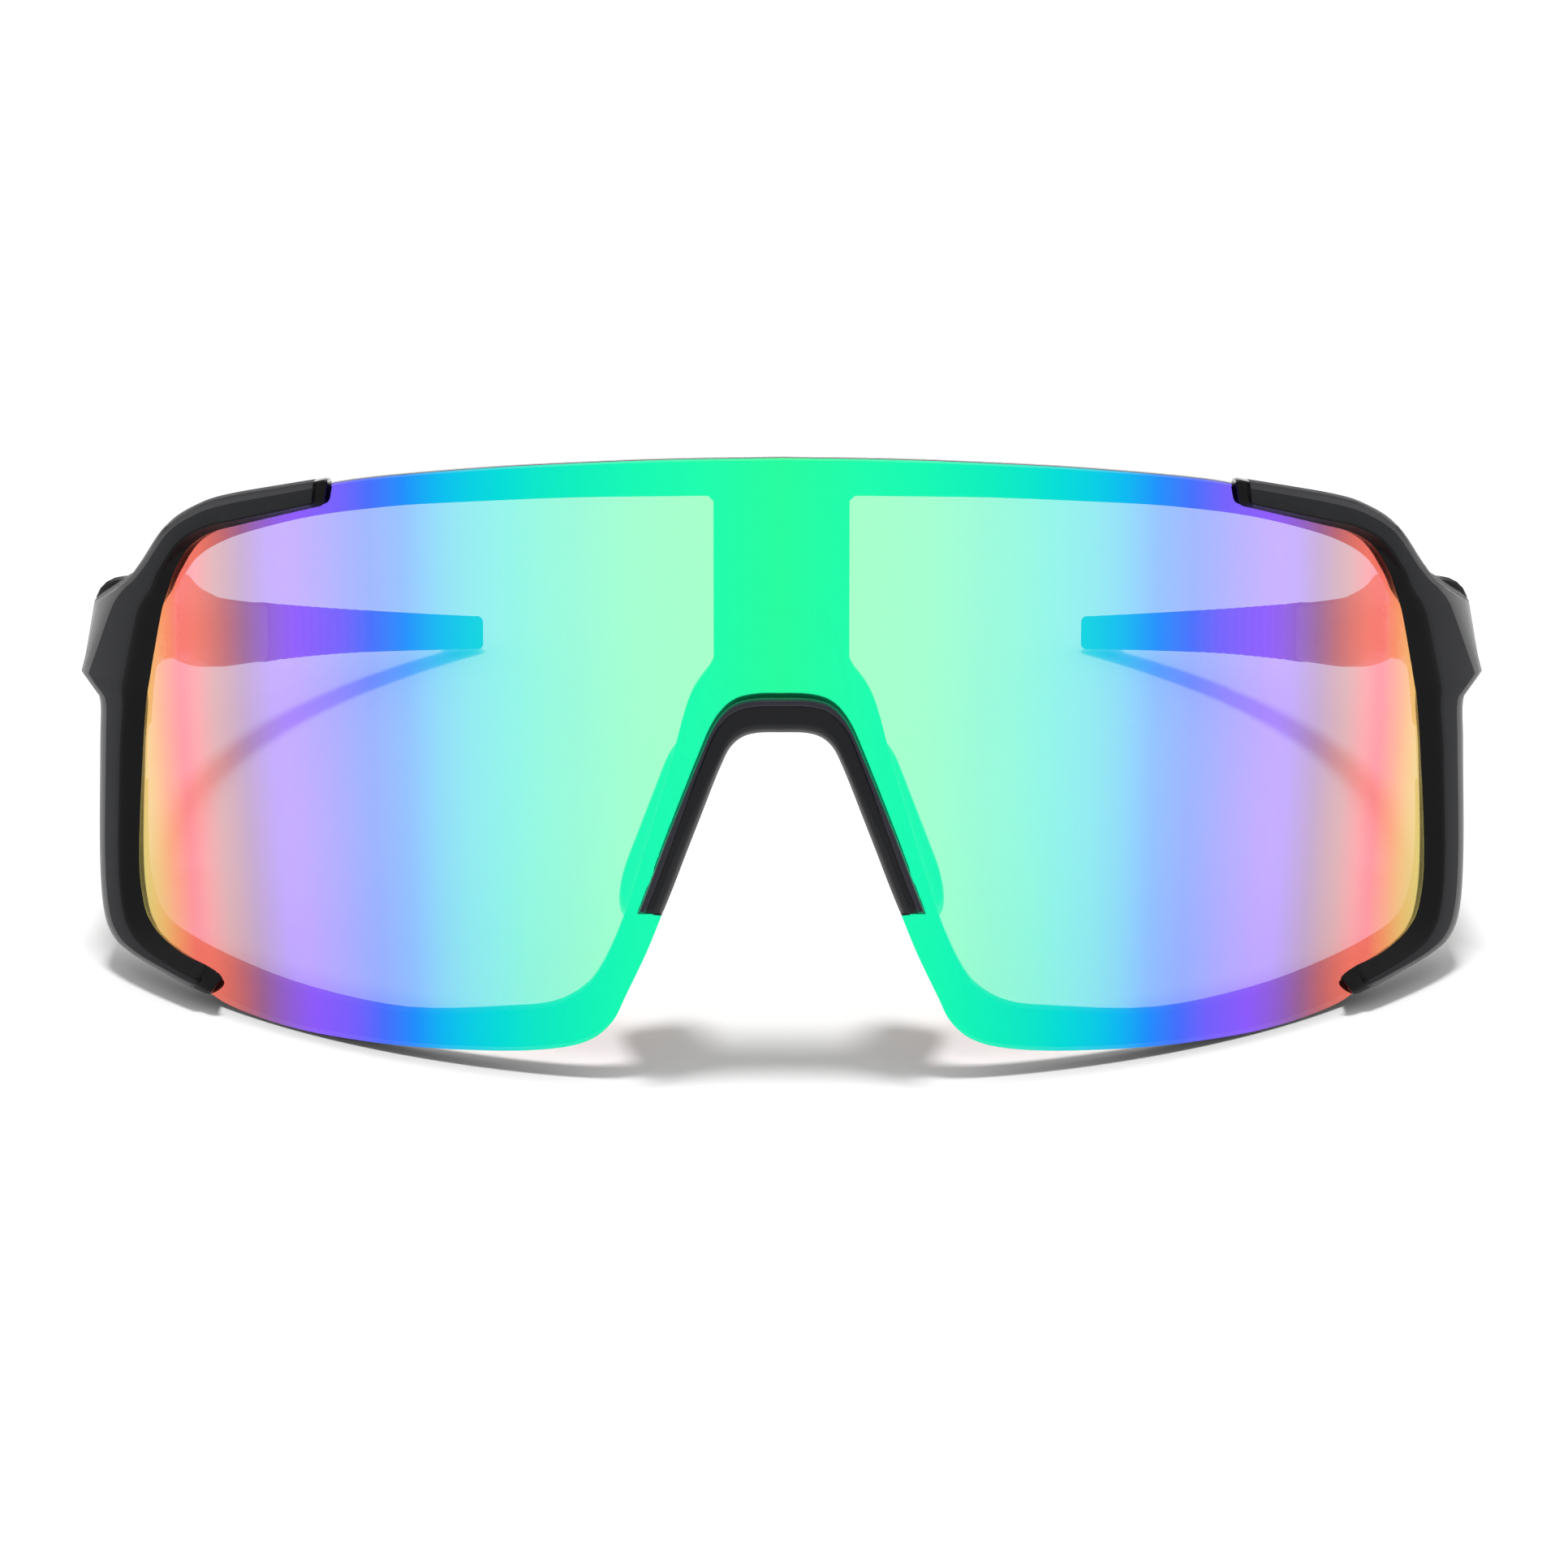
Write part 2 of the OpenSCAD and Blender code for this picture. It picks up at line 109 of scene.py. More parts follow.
def at_place(row, t):
    """The point a share of the way between two of the row."""
    i = min(int(t), len(row) - 2)
    return between(row[i], row[i + 1], t - i)


def laid(rings, side):
    """The rings of an upright drawing set down at rest, on the given side."""
    return [[at_rest(side * x, y, z) for x, y, z in ring] for ring in rings]


def beside(points, gap):
    """The row moved sideways; its ends on the centre line stay there."""
    out = []
    for i, (x, z) in enumerate(points):
        a, b = points[max(i - 1, 0)], points[min(i + 1, len(points) - 1)]
        v = (1, 0) if (x == 0 and i == 0) else (-1, 0) if x == 0 else (b[0] - a[0], b[1] - a[1])
        n = sqrt(v[0] ** 2 + v[1] ** 2)
        out.append((x - gap * v[1] / n, z + gap * v[0] / n))
    return out


def whole(half):
    """Both halves of an outline whose ends lie on the centre line."""
    return half + [(-x, z) for x, z in reversed(half[1:-1])]


# ---------------------------------------------------------------- outlines
# Each is one half of an outline, on the +X side: place sideways, then height.

LENS_OUTER = curve([
    (0, 58.3), (8.1, 58.15), (14.3, 57.9), (20.7, 57.5), (27, 57), (33.5, 56.3),
    (40.1, 55.4), (44.7, 54.5), (49.5, 53.1), (55, 51.3), (60, 48.8), (63.6, 45.4),
    (66.2, 41.2), (67.9, 36), (69.4, 29), (70.3, 20), (69.9, 12), (68.2, 7.9),
    (65.4, 5.4), (62, 3.5), (60, 2.2), (58, 1.05), (56, 0.3), (52, -0.5), (47.7, -1),
    (43.4, -1.2), (39.1, -1.3), (34.9, -1.25), (30.8, -1.1), (26.4, -0.85),
    (22.6, -0.4), (20, 0.2), (18, 1.2), (16.4, 2.9), (15.4, 5), (14.2, 7.5),
    (13.1, 9.9), (11.9, 12.9), (11.75, 13.35)], 4)
NOSE = curve([
    (11.7, 13.5), (10.7, 16), (9.3, 19.7), (7.9, 23.3), (6.9, 25.9), (6, 28.1),
    (5.1, 29.9), (3.9, 31), (2.3, 31.45), (0, 31.5)], 5)
NOSE_OUT = curve([
    (14.1, 13.5), (12.9, 16.6), (11.3, 20.9), (9.4, 25.7), (8.1, 28.9), (6.9, 31.7),
    (5.8, 33.4), (4.4, 34.5), (2.4, 34.95), (0, 35)], 5)
WINDOW = curve([
    (65.7, 27), (65.2, 31.5), (64.4, 35.5), (63.1, 39.5), (61.3, 43.2), (59.4, 45.6), (57, 47.3),
    (53.4, 48.9), (46.9, 50.9), (40.1, 52.2), (33.6, 53), (20.7, 54), (8.1, 54.4)], 4)
WINDOW_LOW = curve([
    (7, 37.6), (8.4, 35.7), (9.4, 33.3), (10.7, 28.5), (13.1, 20.4), (15.1, 13.9),
    (16.3, 10.6), (17.9, 7.3), (19.6, 5.2), (22.6, 3.5), (27.5, 2.7), (37.4, 1.7),
    (47.6, 2.5), (55.5, 4), (61, 5.5), (64.2, 7), (65.7, 9.8), (66.3, 14), (66.2, 21)], 4)


def nose_notch():
    """Half outline of the opening that the bridge clips over, from the foot of a leg to the arch."""
    notch = beside(NOSE, -0.85)
    foot = (notch[0][0] + 0.1, LEG_FOOT[1] - 0.12)
    return [foot] + notch


# ---------------------------------------------------------------- mesh helpers

def finish_piece(name, bm, materials, body, nodes, sharp=35):
    """Turns a bmesh into a named piece that rides on a body and stands for its CAD nodes."""
    bmesh.ops.remove_doubles(bm, verts=bm.verts, dist=1e-7)
    bmesh.ops.recalc_face_normals(bm, faces=bm.faces)
    mesh = bpy.data.meshes.new(name)
    bm.to_mesh(mesh)
    bm.free()
    for m in materials:
        mesh.materials.append(m)
    mesh.shade_smooth()
    mesh.set_sharp_from_angle(angle=radians(sharp))
    piece = bpy.data.objects.new(name, mesh)
    bpy.context.scene.collection.objects.link(piece)
    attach(piece, body)
    if nodes:
        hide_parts(*nodes)
    return piece


def filled(bm, points):
    """A flat face filling the closed line through the points."""
    verts = [bm.verts.new(p) for p in points]
    edges = [bm.edges.new(pair) for pair in zip(verts, verts[1:] + verts[:1])]
    bmesh.ops.contextual_create(bm, geom=edges)


def thickened(bm, shift):
    """Pulls the flat faces out by the shift into a closed plate."""
    grown = bmesh.ops.extrude_face_region(bm, geom=bm.faces[:], use_keep_orig=True)
    moved = [g for g in grown["geom"] if isinstance(g, bmesh.types.BMVert)]
    bmesh.ops.translate(bm, verts=moved, vec=shift)
    bmesh.ops.recalc_face_normals(bm, faces=bm.faces)


def cut_away(bm, point, outward):
    """Cuts off what lies beyond a plane and closes the cut."""
    everything = bm.verts[:] + bm.edges[:] + bm.faces[:]
    cut = bmesh.ops.bisect_plane(bm, geom=everything, dist=1e-5, plane_co=point,
                                 plane_no=outward, clear_outer=True)
    edges = [g for g in cut["geom_cut"] if isinstance(g, bmesh.types.BMEdge)]
    bmesh.ops.holes_fill(bm, edges=edges, sides=0)


def flat_plate(bm, outline, front, back, step):
    """A flat plate cut to the outline, sliced upright so that it can be bent."""
    filled(bm, [(x, 0, z) for x, z in outline])
    reach = max(abs(x) for x, z in outline)
    count = int(reach / step)
    for k in range(-count, count + 1):
        everything = bm.verts[:] + bm.edges[:] + bm.faces[:]
        bmesh.ops.bisect_plane(bm, geom=everything, dist=1e-5,
                               plane_co=(k * step, 0, 0), plane_no=(1, 0, 0))
    bmesh.ops.translate(bm, verts=bm.verts, vec=(0, front, 0))
    thickened(bm, (0, back - front, 0))


def rim_edges(bm, angle=50):
    """Edges where the surface turns sharply."""
    return [e for e in bm.edges if len(e.link_faces) == 2 and e.calc_face_angle(0) > radians(angle)]


def soften(bm, edges, width, segments=2):
    """Rounds off the edges."""
    bmesh.ops.bevel(bm, geom=edges, offset=width, offset_type='OFFSET', segments=segments,
                    profile=0.5, affect='EDGES', material=-1, clamp_overlap=True)


def bend(bm):
    """Pushes a flat plate (x, depth, z) back on to the lens curve and sets it at rest."""
    for v in bm.verts:
        v.co = at_rest(*on_shell(*v.co))


def loft(bm, rings, paint=None):
    """Skins a row of closed rings: each next ring is pulled out of the last, and both ends are closed."""
    ring = [bm.verts.new(p) for p in rings[0]]
    count = len(ring)
    edges = [bm.edges.new((ring[j], ring[(j + 1) % count])) for j in range(count)]
    bmesh.ops.contextual_create(bm, geom=edges)
    for i, points in enumerate(rings[1:]):
        out = bmesh.ops.extrude_edge_only(bm, edges=edges)
        fresh = {g for g in out["geom"] if isinstance(g, bmesh.types.BMVert)}
        ahead = [next(e.other_vert(v) for e in v.link_edges if e.other_vert(v) in fresh) for v in ring]
        for v, p in zip(ahead, points):
            v.co = p
        if paint:
            for j in range(count):
                corners = {ring[j], ring[(j + 1) % count], ahead[j]}
                face = next(f for f in ahead[j].link_faces if corners <= set(f.verts))
                face.material_index = paint(i, j)
        ring = ahead
        edges = [bm.edges.get((ring[j], ring[(j + 1) % count])) for j in range(count)]
    bmesh.ops.contextual_create(bm, geom=edges)


# ---------------------------------------------------------------- materials

def node(tree, kind, place=(0, 0), **values):
    """A new node, with its inputs or its own settings set by name."""
    n = tree.nodes.new(kind)
    n.location = place
    for key, value in values.items():
        if key in n.inputs:
            n.inputs[key].default_value = value
        else:
            setattr(n, key, value)
    return n


def sums(tree, operation, place, *sources, clamp=False):
    """The outcome of a Math node whose inputs are sockets or plain numbers."""
    n = node(tree, "ShaderNodeMath", place, operation=operation, use_clamp=clamp)
    for socket, source in zip(n.inputs, sources):
        if isinstance(source, bpy.types.NodeSocket):
            tree.links.new(source, socket)
        else:
            socket.default_value = source
    return n.outputs[0]


def ranged(tree, source, span, result, place):
    """The source moved from its span of values to the span of the result, and kept inside it."""
    n = node(tree, "ShaderNodeMapRange", place)
    for name, value in zip(("From Min", "From Max", "To Min", "To Max"), (*span, *result)):
        n.inputs[name].default_value = value
    tree.links.new(source, n.inputs["Value"])
    return n.outputs["Result"]


def moulded_skin():
    """Group: the fine grain, faint cloudiness and edge rub of a moulded surface."""
    g = bpy.data.node_groups.new("moulded_skin", "ShaderNodeTree")
    for name, kind, start in (("Colour", "NodeSocketColor", (0.02, 0.02, 0.02, 1)),
                              ("Rub colour", "NodeSocketColor", (0.06, 0.06, 0.06, 1)),
                              ("Grain size", "NodeSocketFloat", 6000.0),
                              ("Grain", "NodeSocketFloat", 0.3),
                              ("Roughness", "NodeSocketFloat", 0.45),
                              ("Cloud", "NodeSocketFloat", 0.08)):
        s = g.interface.new_socket(name=name, in_out='INPUT', socket_type=kind)
        s.default_value = start
    for name, kind in (("Colour", "NodeSocketColor"), ("Roughness", "NodeSocketFloat"),
                       ("Height", "NodeSocketFloat")):
        g.interface.new_socket(name=name, in_out='OUTPUT', socket_type=kind)
    given = node(g, "NodeGroupInput", (-900, 0)).outputs
    result = node(g, "NodeGroupOutput", (500, 0)).inputs
    where = node(g, "ShaderNodeTexCoord", (-900, -300))
    grain = node(g, "ShaderNodeTexNoise", (-600, -250), Detail=3.0, Roughness=0.6)
    cloud = node(g, "ShaderNodeTexNoise", (-600, 150), Scale=70.0, Detail=4.0, Roughness=0.65)
    scuff = node(g, "ShaderNodeTexNoise", (-600, 420), Scale=420.0, Detail=5.0, Roughness=0.7)
    for n in (grain, cloud, scuff):
        g.links.new(where.outputs["Object"], n.inputs["Vector"])
    g.links.new(given["Grain size"], grain.inputs["Scale"])

    # Rubbed spots take some of the rub colour.
    spots = ranged(g, scuff.outputs["Fac"], (0.58, 0.78), (0, 1), (-350, 420))
    tint = node(g, "ShaderNodeMix", (-100, 300), data_type='RGBA')
    g.links.new(sums(g, 'MULTIPLY', (-250, 250), spots, 0.35), tint.inputs["Factor"])
    g.links.new(given["Colour"], tint.inputs["A"])
    g.links.new(given["Rub colour"], tint.inputs["B"])
    g.links.new(tint.outputs["Result"], result["Colour"])

    # Clouds shift the roughness up and down.
    shift = sums(g, 'SUBTRACT', (-250, 60), cloud.outputs["Fac"], 0.5)
    dull = sums(g, 'MULTIPLY_ADD', (-100, 60), shift, given["Cloud"], given["Roughness"])
    g.links.new(dull, result["Roughness"])
    height = sums(g, 'MULTIPLY', (-100, -200), grain.outputs["Fac"], given["Grain"])
    g.links.new(height, result["Height"])
    return g


SKIN = moulded_skin()


def new_material(name):
    """An empty material with a Principled shader."""
    m = bpy.data.materials.new(name)
    m.use_nodes = True
    t = m.node_tree
    t.nodes.clear()
    out = node(t, "ShaderNodeOutputMaterial", (600, 0))
    shader = node(t, "ShaderNodeBsdfPrincipled", (250, 0))
    t.links.new(shader.outputs[0], out.inputs["Surface"])
    return m, t, shader


def moulded(name, colour, rub, roughness, grain_size, grain, depth, metallic=0.0, coat=0.0, sheen=0.0,
            level=0.5, tint=1.0):
    """A material with the moulded skin: plastic, rubber or dark metal by its values."""
    m, t, shader = new_material(name)
    skin = node(t, "ShaderNodeGroup", (-300, 0), node_tree=SKIN)
    for key, value in (("Colour", (*colour, 1)), ("Rub colour", (*rub, 1)), ("Roughness", roughness),
                       ("Grain size", grain_size), ("Grain", grain)):
        skin.inputs[key].default_value = value
    bump = node(t, "ShaderNodeBump", (0, -250), Strength=0.6, Distance=depth)
    t.links.new(skin.outputs["Colour"], shader.inputs["Base Color"])
    t.links.new(skin.outputs["Roughness"], shader.inputs["Roughness"])
    t.links.new(skin.outputs["Height"], bump.inputs["Height"])
    t.links.new(bump.outputs["Normal"], shader.inputs["Normal"])
    for key, value in (("Metallic", metallic), ("Coat Weight", coat), ("Coat Roughness", 0.1),
                       ("Sheen Weight", sheen), ("Specular IOR Level", level),
                       ("Specular Tint", (tint, tint, tint, 1))):
        shader.inputs[key].default_value = value
    return m


frame_matte = moulded("frame_matte", (0.018, 0.0185, 0.0205), (0.04, 0.041, 0.043), 0.4, 5200, 0.5,
                      0.00003, level=0.05)
frame_gloss = moulded("frame_gloss", (0.004, 0.004, 0.0045), (0.008, 0.008, 0.009), 0.14, 2500, 0.15,
                      0.00001, level=0.07)
frame_ridge = moulded("frame_ridge", (0.02, 0.0205, 0.0225), (0.035, 0.035, 0.037), 0.28, 5200, 0.3,
                      0.00002, level=0.3)
# Black plastic, darker and duller than the satin frame: painted shade on the rim and clamp backs that sit
# behind the lens.
rear_rim_shaded = moulded("rear_rim_shaded", (0.003, 0.003, 0.0035), (0.006, 0.006, 0.006), 0.55, 5200, 0.4, 0.00002,
                   level=0.1, tint=0.2)
# Light grey for the upward faces along the top of the rear rim: a painted highlight where light from above
# catches it.
rim_top_highlight = moulded("rim_top_highlight", (0.1, 0.1, 0.1), (0.16, 0.16, 0.16), 0.4, 5200, 0.4, 0.00002, level=0.4)
temple_plastic = moulded("temple_plastic", (0.007, 0.0072, 0.0078), (0.014, 0.014, 0.014), 0.38, 5200,
                         0.5, 0.00003, level=0.3)
saddle_rubber = moulded("saddle_rubber", (0.006, 0.0062, 0.008), (0.012, 0.012, 0.013), 0.34, 3500, 0.3,
                        0.00002, level=0.13)
saddle_band = moulded("saddle_band", (0.019, 0.019, 0.021), (0.05, 0.05, 0.05), 0.42, 3500, 0.4, 0.00002,
                      level=0.09)
# The lip's faint purple tint is a painted sheen on the black rubber.
saddle_lip = moulded("saddle_lip", (0.013, 0.011, 0.02), (0.025, 0.022, 0.035), 0.22, 3500, 0.3, 0.00001,
                     level=0.5, tint=0.4)
pad_rubber = moulded("pad_rubber", (0.012, 0.0125, 0.014), (0.05, 0.05, 0.05), 0.4, 4200, 0.6, 0.00004,
                     level=0.3, tint=0.5)
grip_rubber = moulded("grip_rubber", (0.008, 0.008, 0.0085), (0.015, 0.015, 0.015), 0.62, 3800, 0.8,
                      0.00006, sheen=0.05, level=0.2, tint=0.5)
hinge_steel = moulded("hinge_steel", (0.1, 0.1, 0.105), (0.16, 0.155, 0.15), 0.34, 3000, 0.4, 0.00001,
                      metallic=1.0)

# Mirror colours from the middle of the lens outwards: place in millimetres, then colour.
MIRROR = [
    (0, (0.022, 0.98, 0.35)), (8, (0.014, 0.98, 0.43)), (14, (0.009, 0.95, 0.46)),
    (20.5, (0.005, 0.86, 0.53)), (24, (0.004, 0.8, 0.6)), (27, (0.002, 0.73, 0.69)),
    (30.5, (0.003, 0.63, 0.78)), (33.5, (0.004, 0.5, 0.88)), (37, (0.015, 0.28, 0.98)),
    (40.5, (0.064, 0.165, 0.98)), (43.8, (0.185, 0.125, 0.98)), (48.5, (0.28, 0.112, 0.98)),
    (50.7, (0.29, 0.12, 0.75)), (52.4, (0.3, 0.125, 0.52)), (54.1, (0.34, 0.13, 0.3)),
    (56, (0.52, 0.14, 0.17)), (57.7, (0.72, 0.16, 0.13)), (59.5, (0.9, 0.18, 0.125)),
    (61.3, (0.94, 0.17, 0.125)), (63.2, (0.94, 0.31, 0.12)), (65, (0.87, 0.5, 0.14)),
    (67, (0.76, 0.62, 0.17)), (69, (0.6, 0.66, 0.26))]

# What the dyed body lets through, the coating's opposite colour, by the same places.
BODY_TINT = [
    (0, (0.97, 0.2, 0.45)), (14, (0.97, 0.2, 0.47)), (20, (0.88, 0.25, 0.5)), (26, (0.8, 0.45, 0.42)),
    (33, (0.8, 0.62, 0.2)), (36.5, (0.8, 0.72, 0.2)), (40, (0.8, 0.83, 0.2)),
    (43.5, (0.68, 0.9, 0.2)), (47, (0.75, 0.9, 0.3)), (50, (0.82, 0.88, 0.8)), (54, (0.7, 0.82, 1)),
    (57.5, (0.25, 0.88, 1)), (61, (0.3, 0.5, 0.8)), (64.5, (0.3, 0.38, 0.5)), (67, (0.3, 0.35, 0.38))]
# The sideways reach of both lists, and the most that the colours drift, in millimetres.
COLOUR_REACH = 70
COLOUR_DRIFT = 1


def across_lens(t, colours):
    """Colour by sideways distance from the middle of the lens, with a slight drift."""
    where = node(t, "ShaderNodeTexCoord", (-1300, 0)).outputs["Object"]
    split = node(t, "ShaderNodeSeparateXYZ", (-1100, 0))
    t.links.new(where, split.inputs[0])
    drift = node(t, "ShaderNodeTexNoise", (-1100, 250), Scale=14.0, Detail=1.0)
    t.links.new(where, drift.inputs["Vector"])
    side = sums(t, 'ABSOLUTE', (-900, 0), split.outputs["X"])
    wander = sums(t, 'MULTIPLY_ADD', (-900, 200), drift.outputs["Fac"], COLOUR_DRIFT * MM, side)
    # Towards the bottom the colours crowd a little around a place 33 mm out.
    low = ranged(t, split.outputs["Z"], (0.03, 0.004), (0, 0.13), (-900, -200))
    off = sums(t, 'SUBTRACT', (-900, -400), side, 0.033)
    most = sums(t, 'MINIMUM', (-800, -400), off, 0.012)
    crowd = sums(t, 'MULTIPLY_ADD', (-700, 200), low, most, wander)
    start = COLOUR_DRIFT / 2 * MM
    place = ranged(t, crowd, (start, start + COLOUR_REACH * MM), (0, 1), (-700, 0))
    ramp = node(t, "ShaderNodeValToRGB", (-450, 0))
    stops = ramp.color_ramp.elements
    for k, (x, colour) in enumerate(colours):
        stop = stops[k] if k < 2 else stops.new(x / COLOUR_REACH)
        stop.position = x / COLOUR_REACH
        stop.color = (*colour, 1)
    t.links.new(place, ramp.inputs["Fac"])
    return where, ramp.outputs["Color"]


def mirror_lens():
    """See-through mirror coating whose colour runs from green through blue to red and amber."""
    m, t, shader = new_material("mirror_coating")
    where, colour = across_lens(t, MIRROR)
    t.links.new(colour, shader.inputs["Base Color"])
    haze = node(t, "ShaderNodeTexNoise", (-450, -300), Scale=60.0, Detail=3.0)
    t.links.new(where, haze.inputs["Vector"])
    rough = ranged(t, haze.outputs["Fac"], (0, 1), (0.05, 0.09), (-200, -300))
    t.links.new(rough, shader.inputs["Roughness"])
    shader.inputs["Metallic"].default_value = 1.0
    shader.inputs["Alpha"].default_value = 0.68
    return m


def tinted_back():
    """The rear face of the lens: clear, tinted by the dyed body. One face passes the root of its colour."""
    m, t, shader = new_material("lens_tint")
    where, colour = across_lens(t, [(x, [c * c for c in colour]) for x, colour in BODY_TINT])
    t.links.new(colour, shader.inputs["Base Color"])
    shader.inputs["Transmission Weight"].default_value = 1.0
    shader.inputs["IOR"].default_value = 1.0
    shader.inputs["Roughness"].default_value = 0.0
    return m


mirror_coating = mirror_lens()
lens_tint = tinted_back()
lens_edge = moulded("lens_edge", (0.1, 0.1, 0.1), (0.16, 0.16, 0.16), 0.25, 2600, 0.3, 0.00002, coat=0.3)


# ---------------------------------------------------------------- lens

def make_lens():
    """The shield: cut flat, edges eased, bent round. It lets the overhead light through."""
    bm = bmesh.new()
    flat_plate(bm, whole(LENS_OUTER + nose_notch()), 0.0, LENS, 1.5)
    for side in (1, -1):
        cut_away(bm, (side * LENS_END, 0, 0), (side, 0, 0))
    soften(bm, rim_edges(bm), 0.18, 2)
    facing = 0.85
    for f in bm.faces:
        f.material_index = 0 if f.normal.y < -facing else 2 if f.normal.y > facing else 1
    bend(bm)
    lens = finish_piece("lens_shield", bm, [mirror_coating, lens_edge, lens_tint], "front",
                        ["shield_lens"], sharp=30)
    lens.visible_shadow = False


# ---------------------------------------------------------------- frame

# The frame's materials: real finishes, plus a painted highlight on the rim's top and painted shade on the
# rear rim.
FRAME_FINISHES_AND_PAINTED_LIGHT = [frame_matte, frame_gloss, rear_rim_shaded, rim_top_highlight, frame_ridge]
SATIN, GLOSS, REAR_SHADE, TOP_HIGHLIGHT, RIDGE = range(5)
# The two edges of a clamp's band, from its upper end round to its lower end.
CLAMP_OUTER = [
    (44.7, 55.0), (49.5, 53.95), (55.5, 52.5), (59, 51.2), (62.6, 48.8), (65.6, 44.7),
    (67.7, 42.2), (71.5, 39.7), (73, 32.3), (70.85, 30.2), (70.9, 25), (71.2, 14),
    (70.9, 8), (69.8, 5.2), (67.6, 3.8), (63.7, 2.5), (60.8, 1.5), (58.4, 0.95)]
CLAMP_INNER = [
    (45.2, 52.4), (49.2, 51.25), (54.2, 49.75), (57.6, 48.6), (60, 46.9), (61.7, 44.3),
    (62.5, 42.2), (63.4, 39.5), (64.9, 32.4), (65.3, 30.2), (65.8, 25), (66.5, 14),
    (66.0, 9), (64.9, 6.9), (63.2, 5.6), (61, 4.6), (58.8, 4.05), (56.9, 3.2)]
# By the same points, as shares of the band's width: where the inner slope ends, how far the lens
# groove reaches, where the outer facet starts. Then the depth of the outer wall's front edge.
CLAMP_SLOPE = [0.2, 0.2, 0.22, 0.28, 0.33, 0.36, 0.32, 0.28, 0.32, 0.42, 0.45, 0.43,
               0.44, 0.46, 0.5, 0.52, 0.52, 0.5]
CLAMP_GROOVE = [0.7, 0.7, 0.68, 0.66, 0.62, 0.6, 0.6, 0.55, 0.42, 0.56, 0.5, 0.42,
                0.48, 0.5, 0.5, 0.5, 0.45, 0.4]
CLAMP_FACET = [0.86, 0.86, 0.86, 0.86, 0.87, 0.88, 0.96, 0.77, 0.96, 0.92, 0.9, 0.9,
               0.9, 0.9, 0.88, 0.84, 0.8, 0.8]
CLAMP_DROP = [-0.75, -0.75, -0.75, -0.75, -0.75, -0.75, -0.9, 0.1, -0.6, -0.8, -0.75, -0.75,
              -0.75, -0.75, -0.7, -0.5, -0.4, -0.4]


CLAMP_STEPS = 7
# The lug's straight edges, by number, and the height of the lip in front of the lens.
LUG_SPANS = (6, 7, 8)
LIP = 1.22
# Sections close together at the ends, by distance along the band in steps.
UPPER_END = [0, 0.1, 0.4, 1.2, 2.5, 2.9, 3.3]
LOWER_END = [6.9, 6.4, 5.9, 2.5, 0.9, 0.25, 0]
# Length of a step along the band, and the length of the low nose, at either end.
UPPER_NOSE = (0.7, 1.75)
LOWER_NOSE = (0.35, 2.1)


def mixed(points, straight, steps):
    """Smooth between points, but straight on the named spans."""
    out = []
    for i, (soft, hard) in enumerate(zip(curve(points, steps), line(points, steps))):
        span = min(i // steps, len(points) - 2)
        out.append(hard if span in straight else soft)
    return out


def lip_end(run, low):
    """Width and height of the lip near an end: a rounded low nose, then a step up to the full height."""
    near = min(run / 0.8, 1.0)
    narrow = sqrt(max(0.0, 1 - (1 - near) ** 2))
    rise = min(max((run - low) / 0.35, 0.0), 1.0)
    return 0.62 + 0.38 * narrow, 0.62 * narrow + 0.38 * rise


def clamp_rings():
    """Cross-sections of a side clamp: slope, crest, facet, outer wall, back, lens groove."""
    outer = mixed(CLAMP_OUTER, LUG_SPANS, CLAMP_STEPS)
    inner = curve(CLAMP_INNER, CLAMP_STEPS)
    shares = line(list(zip(CLAMP_SLOPE, CLAMP_GROOVE, CLAMP_FACET, CLAMP_DROP)), CLAMP_STEPS)
    last = len(outer) - 1
    places = UPPER_END + list(range(4, last - 7)) + [last - t for t in LOWER_END]
    back = RIM_BACK + 0.07
    rings = []
    for t in places:
        o, n = at_place(outer, t), at_place(inner, t)
        slope, groove, facet, drop = at_place(shares, t)
        pitch, low = UPPER_NOSE if t < last / 2 else LOWER_NOSE
        width, lift = lip_end(min(t, last - t) * pitch, low)
        top = -LIP * lift * min(1.0, 0.5 + 1.35 * slope)
        drop *= lift
        rows = [
            (0.0, -0.02), (slope * 0.45, top * 0.42), (slope * 0.85, top * 0.88),
            (slope + 0.04, top), (slope + 0.12, top - 0.03), (facet - 0.08, top - 0.03),
            (facet, top + 0.04), ((facet + 1) / 2 + 0.02, (top + drop) / 2 - 0.08 * lift),
            (0.985, drop), (1.0, drop + 0.35), (1.0, 2.2), (0.93, 3.6),
            (0.8, 4.35), (0.66, back), (0.16, back), (0.07, RIM_BACK - 0.2),
            (0.06, SEAT), (groove, SEAT), (groove, -0.02)]
        ring = []
        for share, depth in rows:
            x, z = between(n, o, 0.5 + (share - 0.5) * width)
            ring.append(on_shell(x, depth, z))
        rings.append(ring)
    return rings


def clamp_finish_and_shade(i, j, last):
    """Gloss on the slope and at both ends, ridge on the facet, satin round it, and rim black behind,
    darkened with painted shade.
    """
    if j < 3 or i < 5 or i > last - 5:
        return GLOSS
    if 5 <= j < 8:
        return RIDGE
    # The back and the lens groove take the rear black with its painted shade.
    return SATIN if j < 14 else REAR_SHADE


